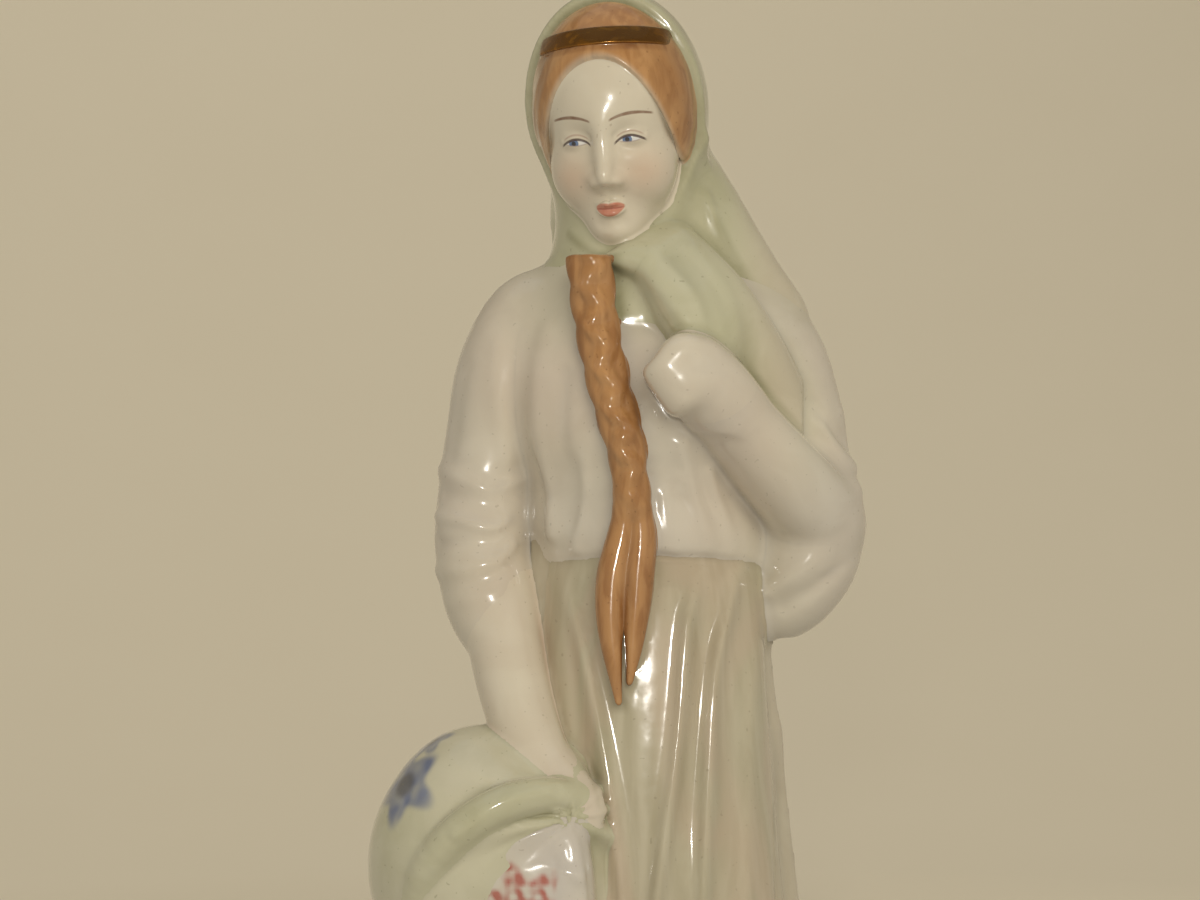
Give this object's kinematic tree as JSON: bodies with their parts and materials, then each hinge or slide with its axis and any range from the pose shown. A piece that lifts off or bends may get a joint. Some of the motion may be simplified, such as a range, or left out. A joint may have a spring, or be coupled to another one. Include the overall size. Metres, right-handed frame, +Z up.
{
  "type": "porcelain figurine",
  "caption": "Standing porcelain woman in a headscarf with a long braid, holding a tied bundle, luted together from slip castings on an oval plinth.",
  "frame": {"origin": "centre of the plinth's outline, on the surface it stands on", "axes": "+Z up the figure, -Y towards its front, +X towards its left hand"},
  "size_m": [0.0767, 0.0623, 0.2202],
  "materials": {
    "white_glaze": "clear gloss glaze on white porcelain",
    "lustre_glaze": "grey-beige lustre under a gloss glaze",
    "skin_glaze": "gloss glaze over a faint skin tint",
    "green_glaze": "gloss glaze over a pale green tint",
    "hair_glaze": "gloss glaze over painted ginger hair",
    "gilding": "burnished gold, fired on the glaze"
  },
  "bodies": {
    "root": {"plinth": "white_glaze", "skirt_casting": "white_glaze", "apron": "lustre_glaze", "torso_casting": "white_glaze", "head_casting": "skin_glaze", "headscarf_hood": "green_glaze", "gilt_headband": "gilding", "scarf_wrap": "green_glaze", "scarf_back_fall": "green_glaze", "scarf_end": "green_glaze", "right_sleeve": "white_glaze", "right_forearm": "skin_glaze", "right_hand": "skin_glaze", "left_sleeve": "white_glaze", "left_forearm": "white_glaze", "left_hand": "skin_glaze", "braid_plait": "hair_glaze", "braid_tail_outer": "hair_glaze", "braid_tail_inner": "hair_glaze", "bundle_casting": "green_glaze", "bundle_knot_end_outer": "green_glaze", "bundle_knot_end_inner": "white_glaze"}
  },
  "joints": []
}
